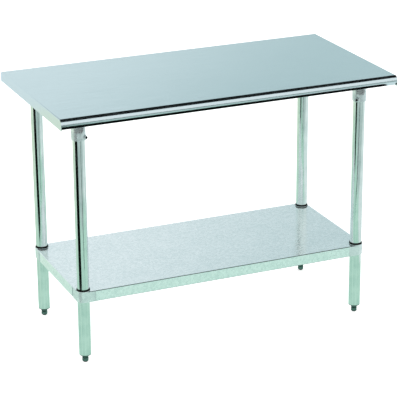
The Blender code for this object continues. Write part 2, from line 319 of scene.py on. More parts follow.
def galvanisedSheet(name):
    # hot-dip galvanised mild steel: zinc crystals a few millimetres wide, each tilted its own way, so that
    # neighbours differ in brightness and gloss, under a thin bloom of white oxide; a painted shade darkens
    # the bends of the long folds, found by the way the surface faces, to a thin dark line
    finish, tree, shader = newFinish(name, galvanised["metallic"])
    coordinates = addNode(tree, "ShaderNodeTexCoord")
    place = coordinates.outputs["Object"]
    crystals = addNode(tree, "ShaderNodeTexVoronoi", {"feature": "F1"},
                       {"Scale": 1 / galvanised["spangle"], "Randomness": 1}, {"Vector": place})
    tone = addNode(tree, "ShaderNodeSeparateColor", links={"Color": crystals.outputs["Color"]})
    frost = addNode(tree, "ShaderNodeTexNoise", values={"Scale": 1 / galvanised["frost"], "Detail": 4},
                    links={"Vector": place})
    cloud = addNode(tree, "ShaderNodeTexNoise", values={"Scale": 1 / galvanised["cloud"], "Detail": 3},
                    links={"Vector": place})
    mixed = addNode(tree, "ShaderNodeMath", {"operation": "MULTIPLY_ADD"}, {1: 0.7},
                    {0: tone.outputs["Red"], 2: frost.outputs["Fac"]})
    clouded = addNode(tree, "ShaderNodeMath", {"operation": "MULTIPLY_ADD"}, {1: 0.6},
                      {0: cloud.outputs["Fac"], 2: mixed.outputs["Value"]})
    shade = addNode(tree, "ShaderNodeMapRange", values={"From Min": 0.5, "From Max": 1.7},
                    links={"Value": clouded.outputs["Value"]})
    zinc = addNode(tree, "ShaderNodeMix", {"data_type": "RGBA"},
                   {6: linearColour(galvanised["dark"]), 7: linearColour(galvanised["pale"])},
                   {"Factor": shade.outputs["Result"]})
    # painted shade: faces that turn through a long fold are mixed towards the dark fold colour
    facing = addNode(tree, "ShaderNodeSeparateXYZ", links={"Vector": coordinates.outputs["Normal"]})
    upward = addNode(tree, "ShaderNodeMath", {"operation": "ABSOLUTE"}, links={0: facing.outputs["Z"]})
    sideways = addNode(tree, "ShaderNodeMath", {"operation": "ABSOLUTE"}, links={0: facing.outputs["Y"]})
    offFlat = addNode(tree, "ShaderNodeMapRange", values={"From Min": 0.995, "From Max": 0.93},
                      links={"Value": upward.outputs["Value"]})
    offUpright = addNode(tree, "ShaderNodeMapRange", values={"From Min": 0.12, "From Max": 0.3},
                         links={"Value": upward.outputs["Value"]})
    onLongFold = addNode(tree, "ShaderNodeMapRange", values={"From Min": 0.05, "From Max": 0.3},
                        links={"Value": sideways.outputs["Value"]})
    fold = addNode(tree, "ShaderNodeMath", {"operation": "MULTIPLY"},
                   links={0: offFlat.outputs["Result"], 1: offUpright.outputs["Result"]})
    foldShade = addNode(tree, "ShaderNodeMath", {"operation": "MULTIPLY"},
                     links={0: fold.outputs["Value"], 1: onLongFold.outputs["Result"]})
    colour = addNode(tree, "ShaderNodeMix", {"data_type": "RGBA"}, {7: linearColour(galvanised["paintedFoldShade"])},
                     {"Factor": foldShade.outputs["Value"], 6: zinc.outputs[2]})
    tree.links.new(colour.outputs[2], shader.inputs["Base Color"])
    low, high = galvanised["roughness"]
    rough = addNode(tree, "ShaderNodeMapRange",
                    values={"From Min": 0, "From Max": 1, "To Min": low, "To Max": high},
                    links={"Value": tone.outputs["Green"]})
    tree.links.new(rough.outputs["Result"], shader.inputs["Roughness"])
    lean = addNode(tree, "ShaderNodeVectorMath", {"operation": "SUBTRACT"}, {1: (0.5, 0.5, 0.5)},
                   {0: crystals.outputs["Color"]})
    slight = addNode(tree, "ShaderNodeVectorMath", {"operation": "SCALE"}, {"Scale": galvanised["tilt"]},
                     {0: lean.outputs["Vector"]})
    face = addNode(tree, "ShaderNodeNewGeometry").outputs["Normal"]
    leaning = addNode(tree, "ShaderNodeVectorMath", {"operation": "ADD"},
                      links={0: face, 1: slight.outputs["Vector"]})
    tilted = addNode(tree, "ShaderNodeVectorMath", {"operation": "NORMALIZE"},
                     links={0: leaning.outputs["Vector"]})
    swell = addNode(tree, "ShaderNodeTexNoise", values={"Scale": 1 / galvanised["swellSize"], "Detail": 0},
                    links={"Vector": place})
    sheetBump = addNode(tree, "ShaderNodeBump",
                        values={"Strength": 1, "Distance": galvanised["swellDepth"]},
                        links={"Height": swell.outputs["Fac"], "Normal": tilted.outputs["Vector"]})
    tree.links.new(sheetBump.outputs["Normal"], shader.inputs["Normal"])
    return finish


tube = {
    "base": "#dfeae8",
    "dull": "#c6d8d5",
    "drawWidth": 4.5 * mm,
    "drawLength": 260 * mm,
    "blotch": 45 * mm,
    "roughness": (0.07, 0.14),
    "drawDepth": 0.004 * mm,
}


def galvanisedTube(name):
    # mild steel tube, galvanised in line and clear coated: bright and smooth, with faint lines along its
    # length from the rolls and a soft blotch where the zinc froze slower
    finish, tree, shader = newFinish(name, 1)
    place = addNode(tree, "ShaderNodeTexCoord").outputs["Object"]
    across = 1 / tube["drawWidth"]
    drawPlace = addNode(tree, "ShaderNodeMapping",
                        values={"Scale": (across, across, 1 / tube["drawLength"])},
                        links={"Vector": place})
    draw = addNode(tree, "ShaderNodeTexNoise", values={"Scale": 1, "Detail": 2},
                   links={"Vector": drawPlace.outputs["Vector"]}).outputs["Fac"]
    blotch = addNode(tree, "ShaderNodeTexNoise", values={"Scale": 1 / tube["blotch"], "Detail": 4},
                     links={"Vector": place}).outputs["Fac"]
    both = addNode(tree, "ShaderNodeMath", {"operation": "MULTIPLY"}, links={0: draw, 1: blotch})
    shade = addNode(tree, "ShaderNodeMapRange", values={"From Min": 0.15, "From Max": 0.4},
                    links={"Value": both.outputs["Value"]}).outputs["Result"]
    coverSkin(tree, shader, tube, ("base", "dull"), shade, blotch, (0.35, 0.65), draw, tube["drawDepth"])
    return finish


casting = {
    "base": "#dae5e6",
    "dull": "#bccccd",
    "metallic": 0.8,
    "grit": 1.1 * mm,
    "flow": 16 * mm,
    "roughness": (0.26, 0.4),
    "gritDepth": 0.03 * mm,
    # painted shade colour round the bore, and how far from the bore it is full and where it ends
    "paintedGapShade": "#1b211f",
    "paintedGapShadeReach": (0.5 * mm, 1.6 * mm),
}


def castZinc(name, boreRadius=None):
    # die-cast zinc, tumbled: an even pebbled skin with flow marks that scatters much of its light, and a
    # painted shade, dark round the bore of the ring that stands round the leg, for the shadow in the gap
    finish, tree, shader = newFinish(name, casting["metallic"])
    place = addNode(tree, "ShaderNodeTexCoord").outputs["Object"]
    grit = addNode(tree, "ShaderNodeTexNoise", values={"Scale": 1 / casting["grit"], "Detail": 3},
                   links={"Vector": place}).outputs["Fac"]
    flow = addNode(tree, "ShaderNodeTexNoise",
                   values={"Scale": 1 / casting["flow"], "Detail": 3, "Distortion": 0.6},
                   links={"Vector": place}).outputs["Fac"]
    both = addNode(tree, "ShaderNodeMath", {"operation": "MULTIPLY"}, links={0: grit, 1: flow})
    shade = addNode(tree, "ShaderNodeMapRange", values={"From Min": 0.15, "From Max": 0.4},
                    links={"Value": both.outputs["Value"]}).outputs["Result"]
    skin = coverSkin(tree, shader, casting, ("base", "dull"), shade, flow, (0.35, 0.65), grit,
                     casting["gritDepth"])
    # painted shade: the ring goes dark within a millimetre or two of the bore, for the shadow in the gap
    # round the leg
    if boreRadius:
        shadeFull, shadeEnds = casting["paintedGapShadeReach"]
        flat = addNode(tree, "ShaderNodeVectorMath", {"operation": "MULTIPLY"}, {1: (1, 1, 0)}, {0: place})
        reach = addNode(tree, "ShaderNodeVectorMath", {"operation": "LENGTH"},
                        links={0: flat.outputs["Vector"]})
        near = addNode(tree, "ShaderNodeMapRange", {"interpolation_type": "SMOOTHSTEP"},
                       {"From Min": boreRadius + shadeEnds, "From Max": boreRadius + shadeFull},
                       {"Value": reach.outputs["Value"]})
        gapShaded = addNode(tree, "ShaderNodeMix", {"data_type": "RGBA"}, {7: linearColour(casting["paintedGapShade"])},
                        {"Factor": near.outputs["Result"], 6: skin})
        tree.links.new(gapShaded.outputs[2], shader.inputs["Base Color"])
    return finish


darkMetals = {
    "darkZinc": {
        "base": "#3c5450",
        "worn": "#8ba5a2",
        "grit": 0.9 * mm,
        "roughness": (0.26, 0.4),
        "depth": 0.02 * mm,
    },
    "blackOxide": {
        "base": "#1b1d1d",
        "worn": "#5b6060",
        "grit": 0.6 * mm,
        "roughness": (0.32, 0.5),
        "depth": 0.01 * mm,
    },
}


def darkMetal(name, kind):
    # steel with a dark plated or oxide skin that has rubbed to bare metal along its corners
    look = darkMetals[kind]
    finish, tree, shader = newFinish(name, 1)
    place = addNode(tree, "ShaderNodeTexCoord").outputs["Object"]
    grit = addNode(tree, "ShaderNodeTexNoise", values={"Scale": 1 / look["grit"], "Detail": 3},
                   links={"Vector": place}).outputs["Fac"]
    corner = addNode(tree, "ShaderNodeNewGeometry").outputs["Pointiness"]
    rubbed = addNode(tree, "ShaderNodeMapRange", values={"From Min": 0.53, "From Max": 0.62},
                     links={"Value": corner})
    broken = addNode(tree, "ShaderNodeMath", {"operation": "MULTIPLY"},
                     links={0: rubbed.outputs["Result"], 1: grit})
    coverSkin(tree, shader, look, ("base", "worn"), broken.outputs["Value"], grit, (0.3, 0.7), grit,
              look["depth"])
    return finish


# black nylon of the glides; the same near-black, low-sheen finish keeps the painted-shade bush in the ring's
# mouth black
nylon = {
    "base": "#050606",
    "scuffed": "#121414",
    "grain": 0.8 * mm,
    "roughness": (0.42, 0.6),
    "depth": 0.02 * mm,
    "ior": 1.53,
    "specular": 0.15,
}


def mouldedNylon(name):
    # black moulded nylon: a fine matt grain, greyed by scuffs where it slides on the floor
    finish, tree, shader = newFinish(name, 0)
    place = addNode(tree, "ShaderNodeTexCoord").outputs["Object"]
    grain = addNode(tree, "ShaderNodeTexNoise", values={"Scale": 1 / nylon["grain"], "Detail": 3},
                    links={"Vector": place}).outputs["Fac"]
    shade = addNode(tree, "ShaderNodeMapRange", values={"From Min": 0.55, "From Max": 0.75},
                    links={"Value": grain}).outputs["Result"]
    coverSkin(tree, shader, nylon, ("base", "scuffed"), shade, grain, (0.3, 0.7), grain, nylon["depth"])
    shader.inputs["IOR"].default_value = nylon["ior"]
    shader.inputs["Specular IOR Level"].default_value = nylon["specular"]
    return finish


legLow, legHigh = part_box("leg_front_left")
legRadius = (legHigh.x - legLow.x) / 2

topFinish = brushedStainless("brushedStainlessTop", "X")
endFinish = brushedStainless("brushedStainlessEnds", "Z")
sheetFinish = galvanisedSheet("galvanisedSheet")
tubeFinish = galvanisedTube("galvanisedTube")
clampFinish = castZinc("castZincBracket", legRadius)
socketFinish = castZinc("castZincSocket")
footFinish = darkMetal("darkZincPlate", "darkZinc")
screwFinish = darkMetal("blackOxideSteel", "blackOxide")
padFinish = mouldedNylon("mouldedNylon")
print("materials made")


worktop = {
    "sheet": 1.5 * mm,
    "lip": 6 * mm,
    "endBend": 2.5 * mm,
    "rollSteps": 48,
    "bendSteps": 8,
    "edge": 0.25 * mm,
}


def worktopMesh():
    low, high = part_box("worktop")
    radius = (high.z - low.z) / 2
    flatY = high.y - radius
    centre = (flatY, high.z - radius)
    steps = worktop["rollSteps"]
    outer = arcPoints(centre, radius, -90, 90, steps)
    inner = arcPoints(centre, radius - worktop["sheet"], 90, -90, steps)
    lipY = flatY - worktop["lip"]
    rear = [(lipY, low.z)] + outer
    rearInner = inner + [(lipY, low.z + worktop["sheet"])]
    section = rear + mirrored(rear) + mirrored(rearInner) + rearInner
    sheet = prismMesh(section, low.x + worktop["sheet"] / 2, high.x - worktop["sheet"] / 2, "X")
    shoulder = [(high.y, low.z)] + arcPoints(centre, radius, 0, 90, steps // 2)
    plate = shoulder + mirrored(shoulder)
    plates = [
        prismMesh(plate, low.x, low.x + worktop["sheet"], "X"),
        prismMesh(plate, high.x - worktop["sheet"], high.x, "X"),
    ]
    bend = arcPoints((high.x - worktop["endBend"], high.z - worktop["endBend"]), worktop["endBend"], 0, 90,
                     worktop["bendSteps"])
    side = [(high.x, low.z - radius)] + bend
    envelope = prismMesh(side + mirrored(side), low.y - radius, high.y + radius, "Y")
    whole = combineMeshes(combineMeshes(sheet, plates, "UNION"), [envelope], "INTERSECT")
    return softenEdges(whole, worktop["edge"])


def grainOnEnds(mesh):
    # the sheet folds down at both ends, and its grain turns down with it
    for polygon in mesh.polygons:
        if abs(polygon.normal.x) > 0.6:
            polygon.material_index = 1


def makeWorktop():
    mesh = worktopMesh()
    piece = addPiece("worktopSheet", mesh, [topFinish, endFinish], "root", ["worktop"])
    grainOnEnds(piece.data)


makeWorktop()
print("worktop made")


channels = {
    "top": {"sheet": 1.5 * mm, "web": 64 * mm, "bend": 2.5 * mm},
    "shelf": {"sheet": 1.5 * mm, "web": 50 * mm, "bend": 2.5 * mm},
    "edge": 0.25 * mm,
}


def hatSection(width, height, look):
    # the flanges lie at the top and the web at the bottom, with every bend rounded
    sheet, bend, half = look["sheet"], look["bend"], look["web"] / 2
    tight = bend - sheet
    right = [
        (half, -height, bend),
        (half, -sheet, tight),
        (width / 2, -sheet, 0),
        (width / 2, 0, 0),
        (half - sheet, 0, bend),
        (half - sheet, -height + sheet, tight),
    ]
    return roundedOutline(right + mirrored(right))


def makeChannel(name, node, axis, look, body):
    low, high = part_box(node)
    middle = (low + high) / 2
    along, across = (0, 1) if axis == "X" else (1, 0)
    reach = (high[along] - low[along]) / 2
    outline = hatSection(high[across] - low[across], high.z - low.z, look)
    mesh = softenEdges(prismMesh(outline, -reach, reach, axis), channels["edge"], limit=60)
    addPiece(name, mesh, [sheetFinish], body, [node], (middle.x, middle.y, high.z))


makeChannel("crossChannelLeft", "top_cross_channel_left", "Y", channels["top"], "root")
makeChannel("crossChannelRight", "top_cross_channel_right", "Y", channels["top"], "root")
makeChannel("longChannel", "top_long_channel", "X", channels["top"], "root")
makeChannel("shelfStiffener", "shelf_channel", "X", channels["shelf"], "shelf")
print("channels made")


leg = {"wall": 1.5 * mm, "edge": 0.4 * mm, "steps": 96}


def legMesh(height):
    inner = legRadius - leg["wall"]
    profile = roundedOutline([
        (legRadius, height, leg["edge"]),
        (legRadius, 0, leg["edge"]),
        (inner, 0, leg["edge"]),
        (inner, height, leg["edge"]),
    ], steps=3)
    return turnedMesh(profile, leg["steps"])


screwBoss = {
    "diameter": 15 * mm,
    "height": 4.5 * mm,
    "hole": 8.6 * mm,
    "root": 1.5 * mm,
    "rootHeight": 1 * mm,
    "edge": 0.8 * mm,
    "steps": 40,
}

socket = {
    "wall": 3 * mm,
    "clearance": 0.4 * mm,
    "plate": 4 * mm,
    "plateCorner": 6 * mm,
    "plateEdge": 0.8 * mm,
    "neck": 0.2 * mm,
    "flare": 4 * mm,
    "edge": 1.2 * mm,
    "boreEdge": 0.5 * mm,
    "bossRise": 9 * mm,
    "steps": 72,
}


def bossAndHole(wall, ringRadius, height, angle):
    # the round boss that a set screw goes through, standing out from a ring at this height and angle
    turned = Matrix.Rotation(math.radians(angle), 4, "Z") @ Matrix.Rotation(math.pi / 2, 4, "Y")
    upright = Matrix.Translation((0, 0, height)) @ turned
    radius = screwBoss["diameter"] / 2
    steps = screwBoss["steps"]
    top = ringRadius + screwBoss["height"]
    profile = roundedOutline([
        (0, ringRadius - wall / 2, 0),
        (radius + screwBoss["root"], ringRadius - wall / 2, 0),
        (radius, ringRadius + screwBoss["rootHeight"], screwBoss["root"]),
        (radius, top, screwBoss["edge"]),
        (0, top, 0),
    ], steps=4)
    boss = placed(turnedMesh(profile, steps, closed=False), upright)
    outline = arcPoints((0, 0), screwBoss["hole"] / 2, 0, 360, steps)[:-1]
    return boss, placed(prismMesh(outline, legRadius / 2, 2 * top), upright)


def socketMesh(width, depth, height, bossAngle):
    bore = legRadius + socket["clearance"]
    outer = bore + socket["wall"]
    top = -socket["plate"] / 2
    profile = roundedOutline([
        (outer + socket["flare"], top, 0),
        (outer + socket["flare"], -socket["plate"] - socket["neck"], 0),
        (outer, -socket["plate"] - socket["neck"], socket["flare"]),
        (outer, -height, socket["edge"]),
        (bore, -height, socket["boreEdge"]),
        (bore, top, 0),
    ], steps=5)
    sleeve = turnedMesh(profile, socket["steps"])
    a, b, corner = width / 2, depth / 2, socket["plateCorner"]
    outline = roundedOutline([(-a, -b, corner), (a, -b, corner), (a, b, corner), (-a, b, corner)])
    plate = prismMesh(outline, -socket["plate"], 0, edge=socket["plateEdge"])
    boss, hole = bossAndHole(socket["wall"], outer, -height + socket["bossRise"], bossAngle)
    return combineMeshes(combineMeshes(sleeve, [plate, boss], "UNION"), [hole], "DIFFERENCE")


bracket = {
    "wall": 3 * mm,
    "clearance": 0.4 * mm,
    "reach": 36 * mm,
    "wing": 4.5 * mm,
    "tab": 26 * mm,
    "tabSetBack": 1.5 * mm,
    "sheet": 1.5 * mm,
    "fillet": 4 * mm,
    "edge": 0.5 * mm,
    "wingEdge": 0.4 * mm,
    "wingCorner": 0.8 * mm,
    "ringInset": 0.06 * mm,  # keeps the ring's skin clear of the wings'
    "steps": 96,
}

# a dark ring put in the ring's mouth where there is only shade
shadowBush = {
    "rise": 7 * mm,
    "depth": 5 * mm,
    "wall": 2 * mm,
    "seatGap": 0.1 * mm,
    "lip": 0.6,  # how much of the wall reaches the top
    "shoulder": 1.2 * mm,
    "lowEdge": 0.2 * mm,
    "innerEdge": 0.3 * mm,
    "outerEdge": 0.4 * mm,
}


overrun = 1 * mm  # how far a cutter stands past what it cuts


def shadowBushMesh():
    # a black bush in the ring's mouth that stands in for the shade in the gap between ring and leg
    bore = legRadius + bracket["clearance"]
    return turnedMesh(roundedOutline([
        (bore + shadowBush["wall"], -shadowBush["depth"], shadowBush["lowEdge"]),
        (bore, -shadowBush["depth"], shadowBush["lowEdge"]),
        (bore, shadowBush["rise"], shadowBush["innerEdge"]),
        (bore + shadowBush["wall"] * shadowBush["lip"], shadowBush["rise"], shadowBush["outerEdge"]),
        (bore + shadowBush["wall"], shadowBush["shoulder"], 0),
    ], steps=3), bracket["steps"])


def bracketMesh(height, proud):
    # about the leg's axis, with the shelf's surface at z = 0 and the outer faces towards -X and -Y
    bore = legRadius + bracket["clearance"]
    ring = bore + bracket["wall"]
    inner = ring - bracket["wing"]
    low = -height
    wingTop = -bracket["sheet"]
    seat = shadowBush["wall"] + shadowBush["seatGap"]
    outer = ring - bracket["ringInset"]
    block = turnedMesh(roundedOutline([
        (0, proud, 0),
        (outer, proud, bracket["edge"]),
        (outer, low, bracket["edge"]),
        (0, low, 0),
    ], steps=4), bracket["steps"], closed=False)
    bored = turnedMesh([
        (0, proud + overrun),
        (bore + seat, proud + overrun),
        (bore + seat, -shadowBush["depth"] - shadowBush["seatGap"]),
        (bore, -shadowBush["depth"] - shadowBush["seatGap"]),
        (bore, low - overrun),
        (0, low - overrun),
    ], bracket["steps"], closed=False)
    meet = math.sqrt(outer**2 - inner**2)
    wing = [
        (0, -ring, 0),
        (bracket["reach"], -ring, bracket["wingCorner"]),
        (bracket["reach"], -inner, 0),
        (meet + bracket["fillet"], -inner, 0),
        (meet, -inner + bracket["fillet"] / 2, 0),
        (0, -inner + bracket["fillet"] / 2, 0),
    ]
    tab = [
        (bracket["reach"] - bracket["wall"], -ring + bracket["tabSetBack"], 0),
        (bracket["reach"] + bracket["tab"], -ring + bracket["tabSetBack"], bracket["wingCorner"]),
        (bracket["reach"] + bracket["tab"], -inner, bracket["wingCorner"]),
        (bracket["reach"] - bracket["wall"], -inner, 0),
    ]
    swap = Matrix(((0, 1, 0, 0), (1, 0, 0, 0), (0, 0, 1, 0), (0, 0, 0, 1)))
    pieces = []
    for flip in (False, True):
        for shape, bottom in ((wing, low), (tab, low + bracket["tabSetBack"])):
            mesh = prismMesh(roundedOutline(shape, steps=5), bottom, wingTop, edge=bracket["wingEdge"],
                             edgeSteps=1)
            if flip:
                mesh.transform(swap)
                mesh.flip_normals()
            pieces.append(mesh)
    boss, hole = bossAndHole(bracket["wall"], ring, low / 2, 45)
    for part in [*pieces, boss]:
        block = combineMeshes(block, [part], "UNION")
    return combineMeshes(combineMeshes(block, [bored], "DIFFERENCE"), [hole], "DIFFERENCE")


setScrew = {
    "diameter": 8 * mm,
    "length": 10 * mm,
    "pitch": 1.25 * mm,
    "hex": 4 * mm,
    "hexDepth": 5 * mm,
    "point": 1.5 * mm,
    "steps": 32,
}


thread = {
    "rowsPerTurn": 6,
    "depth": 0.54,  # of the pitch
    "flank": 1.25,
    "flat": 0.125,
}
hexChamfer = 30  # degrees


def ringOf(steps, radius, height):
    # radius and height are fixed or follow the angle
    ring = []
    for step in range(steps):
        angle = 2 * math.pi * step / steps
        reach = radius(angle) if callable(radius) else radius
        level = height(angle) if callable(height) else height
        ring.append((reach * math.cos(angle), reach * math.sin(angle), level))
    return ring


def hexRadius(flats):
    # how far a hexagon reaches at each angle
    return lambda angle: flats / 2 / math.cos(angle % (math.pi / 3) - math.pi / 6)


def hexRings(steps, flats, top, topFace, low, lowFace):
    # a hexagon whose corners a cone has turned off at both faces
    slope = math.tan(math.radians(hexChamfer))
    side = hexRadius(flats)
    return [
        ringOf(steps, topFace, top),
        ringOf(steps, side, lambda angle: top - (side(angle) - topFace) * slope),
        ringOf(steps, side, lambda angle: low + (side(angle) - lowFace) * slope),
        ringOf(steps, lowFace, low),
    ]


def threadRings(steps, radius, pitch, top, low, chamfer):
    # a right-hand thread: its radius rises and falls along the rod and round it at once
    depth = thread["depth"] * pitch
    rows = round((top - low) / pitch * thread["rowsPerTurn"])
    rings = []
    for row in range(rows + 1):
        level = top - (top - low) * row / rows
        cap = radius - max(0, chamfer - (top - level))

        def reach(angle):
            phase = (level / pitch - angle / (2 * math.pi)) % 1
            groove = min(1, max(0, abs(2 * phase - 1) * thread["flank"] - thread["flat"]))
            return min(cap, radius - depth * groove)

        rings.append(ringOf(steps, reach, level))
    return rings


def loftMesh(rings):
    bm = bmesh.new()
    rows = [[bm.verts.new(point) for point in ring] for ring in rings]
    for above, below in zip(rows, rows[1:]):
        for step in range(len(above)):
            after = (step + 1) % len(above)
            bm.faces.new((above[step], above[after], below[after], below[step]))
    bm.faces.new(rows[0])
    bm.faces.new(rows[-1])
    return closeMesh(bm)


def setScrewMesh():
    steps, length = setScrew["steps"], setScrew["length"]
    key = hexRadius(setScrew["hex"])
    rings = threadRings(steps, setScrew["diameter"] / 2, setScrew["pitch"], length, 0,
                        setScrew["point"] / 2)
    rings.insert(0, ringOf(steps, key, length))
    rings.insert(0, ringOf(steps, key, length - setScrew["hexDepth"]))
    return placed(loftMesh(rings), Matrix.Rotation(math.pi / 2, 4, "Y"))


def makeSetScrew(name, node, legNode, body):
    low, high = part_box(node)
    outward = ((low + high) / 2 - middleOf(legNode)).xy
    angle = math.atan2(outward.y, outward.x)
    start = outward.length - setScrew["length"] / 2
    centre = middleOf(legNode)
    spot = (centre.x + start * math.cos(angle), centre.y + start * math.sin(angle), (low.z + high.z) / 2)
    addPiece(name, setScrewMesh(), [screwFinish], body, [node], spot, math.degrees(angle))


for corner, (side, end) in cornerSides.items():
    label = labelOf(corner)
    legNode = f"leg_{corner}"
    centre = middleOf(legNode)
    low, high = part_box(legNode)
    addPiece(f"legTube{label}", legMesh(high.z - low.z), [tubeFinish], "root", [legNode],
             (centre.x, centre.y, low.z))
    low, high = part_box(f"leg_socket_{corner}")
    mesh = socketMesh(high.x - low.x, high.y - low.y, high.z - low.z, math.degrees(math.atan2(end, -side)))
    addPiece(f"legSocket{label}", mesh, [socketFinish], "root", [f"leg_socket_{corner}"],
             (centre.x, centre.y, high.z))
    makeSetScrew(f"socketScrew{label}", f"socket_set_screw_{corner}", legNode, "root")
print("legs and sockets made")

shelfLow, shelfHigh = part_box("shelf_pan")
for index, corner in enumerate(cornerSides):
    label = labelOf(corner)
    centre = middleOf(f"leg_{corner}")
    low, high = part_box(f"shelf_bracket_{corner}")
    mesh = bracketMesh(shelfHigh.z - low.z, high.z - shelfHigh.z)
    # the black bush is painted shade: a dark ring for the shadow in the gap round the leg
    addPiece(f"legShadowBush{label}", shadowBushMesh(), [padFinish], "shelf", [],
             (centre.x, centre.y, shelfHigh.z))
    addPiece(f"shelfBracket{label}", mesh, [clampFinish], "shelf",
             [f"shelf_bracket_{corner}"], (centre.x, centre.y, shelfHigh.z), 90 * index)
    makeSetScrew(f"bracketScrew{label}", f"bracket_set_screw_{corner}", f"leg_{corner}", "shelf")
print("brackets made")


shelf = {
    "sheet": 1.2 * mm,
    "bend": 2.5 * mm,
    "foot": 2 * mm,
    "hem": 10 * mm,
    "notchGap": 0.8 * mm,
    "notchSteps": 40,
    "horn": 12 * mm,
    "seam": 0.3 * mm,
    "edge": 0.2 * mm,
    "bendSteps": 8,
}


def shelfMesh():
    low, high = shelfLow, shelfHigh
    sheet, height = shelf["sheet"], high.z - low.z
    legSpot = middleOf("leg_rear_right")
    notch = legRadius + bracket["clearance"] + bracket["wall"] + shelf["notchGap"]
    horn = shelf["horn"]
    mouth = math.degrees(math.asin(horn / notch))
    front = arcPoints((legSpot.x, -legSpot.y), notch, 270 - mouth, mouth, shelf["notchSteps"])
    rear = arcPoints((legSpot.x, legSpot.y), notch, -mouth, mouth - 270, shelf["notchSteps"])
    right = [
        (legSpot.x - horn, -high.y),
        *front,
        (high.x, -legSpot.y + horn),
        (high.x, legSpot.y - horn),
        *rear,
        (legSpot.x - horn, high.y),
    ]
    plan = right + mirrored(right)
    flat = prismMesh(plan, -sheet, 0)
    sides = []
    reach = bracket["reach"] + shelf["seam"]
    for axis, edge, end in (("X", high.y, legSpot.x - reach),
                            ("Y", high.x, legSpot.y - reach - shelf["hem"])):
        for way in (-1, 1):
            fold = roundedOutline([
                (way * edge, -sheet / 2, 0),
                (way * edge, -height, shelf["foot"]),
                (way * (edge - shelf["hem"]), -height, 0),
                (way * (edge - shelf["hem"]), -height + sheet, 0),
                (way * (edge - sheet), -height + sheet, shelf["foot"] - sheet),
                (way * (edge - sheet), -sheet / 2, 0),
            ], steps=5)
            sides.append(prismMesh(fold, -end, end, axis))
    pan = combineMeshes(flat, sides, "UNION")
    envelopes = []
    for edge, axis, span in ((high.x, "Y", 2 * high.y), (high.y, "X", 2 * high.x)):
        bend = arcPoints((edge - shelf["bend"], -shelf["bend"]), shelf["bend"], 0, 90, shelf["bendSteps"])
        side = [(edge, -2 * height)] + bend
        envelopes.append(prismMesh(side + mirrored(side), -span, span, axis))
    return softenEdges(combineMeshes(pan, envelopes, "INTERSECT"), shelf["edge"], limit=50)


addPiece("shelfPan", shelfMesh(), [sheetFinish], "shelf", ["shelf_pan"],
         (0, 0, shelfHigh.z))
print("undershelf made")


insert = {
    "nose": 26 * mm,
    "band": 1.4 * mm,
    "gap": 0.3 * mm,
    "bore": 13.3 * mm,
    "topEdge": 0.6 * mm,
    "rimEdge": 0.25 * mm,
    "bandEdge": 0.5 * mm,
    "noseEdge": 0.7 * mm,
    "boreEdge": 0.4 * mm,
    "steps": 64,
}

glide = {
    "peg": 6 * mm,
    "pegHeight": 5 * mm,
    "face": 11 * mm,
    "rim": 1.2 * mm,
    "pegEdge": 0.6 * mm,
    "topEdge": 0.4 * mm,
    "rimEdge": 0.8 * mm,
    "faceEdge": 0.6 * mm,
    "steps": 64,
}

footScrew = {
    "stud": 12.7 * mm,
    "pitch": 25.4 * mm / 13,
    "studChamfer": 1.2 * mm,
    "hex": 20 * mm,
    "hexFace": 0.2 * mm,
    "toe": 1.2 * mm,
    "nut": 4.5 * mm,
    "neck": 2 * mm,
    "neckDiameter": 15 * mm,
    "startGap": 1.5 * mm,
    "pegGap": 0.3 * mm,
    "steps": 48,
}


def insertMesh(low, high, seat):
    # z = 0 is the leg's lower end
    plug = legRadius - leg["wall"] - insert["gap"]
    profile = roundedOutline([
        (plug, high - seat, insert["topEdge"]),
        (plug, -insert["gap"], 0),
        (legRadius, -insert["gap"], insert["rimEdge"]),
        (legRadius, -insert["gap"] - insert["band"], insert["bandEdge"]),
        (insert["nose"] / 2, low - seat, insert["noseEdge"]),
        (insert["bore"] / 2, low - seat, insert["boreEdge"]),
        (insert["bore"] / 2, high - seat, insert["boreEdge"]),
    ], steps=4)
    return turnedMesh(profile, insert["steps"])


def footScrewMesh(low, high, nutTop):
    # z = 0 is the floor
    steps, hexagon = footScrew["steps"], footScrew["hex"]
    face = hexagon / 2 - footScrew["hexFace"]
    nutLow = nutTop - footScrew["nut"]
    neckLow = nutLow - footScrew["neck"]
    neck = footScrew["neckDiameter"] / 2
    recess = glide["peg"] / 2 + footScrew["pegGap"]
    recessTop = low + glide["pegHeight"] + footScrew["pegGap"]
    rings = threadRings(steps, footScrew["stud"] / 2, footScrew["pitch"], high, nutTop,
                        footScrew["studChamfer"])
    rings += hexRings(steps, hexagon, nutTop, face, nutLow, face)
    rings += [ringOf(steps, neck, nutLow), ringOf(steps, neck, neckLow)]
    rings += hexRings(steps, hexagon, neckLow, face, low, face - footScrew["toe"])
    rings += [ringOf(steps, recess, low), ringOf(steps, recess, recessTop)]
    return loftMesh(rings)


def glideMesh(width, pegTop):
    height = pegTop - glide["pegHeight"]
    profile = roundedOutline([
        (0, pegTop, 0),
        (glide["peg"] / 2, pegTop, glide["pegEdge"]),
        (glide["peg"] / 2, height, 0),
        (width / 2, height, glide["topEdge"]),
        (width / 2, height - glide["rim"], glide["rimEdge"]),
        (glide["face"] / 2, 0, glide["faceEdge"]),
        (0, 0, 0),
    ], steps=4)
    return turnedMesh(profile, glide["steps"], closed=False)


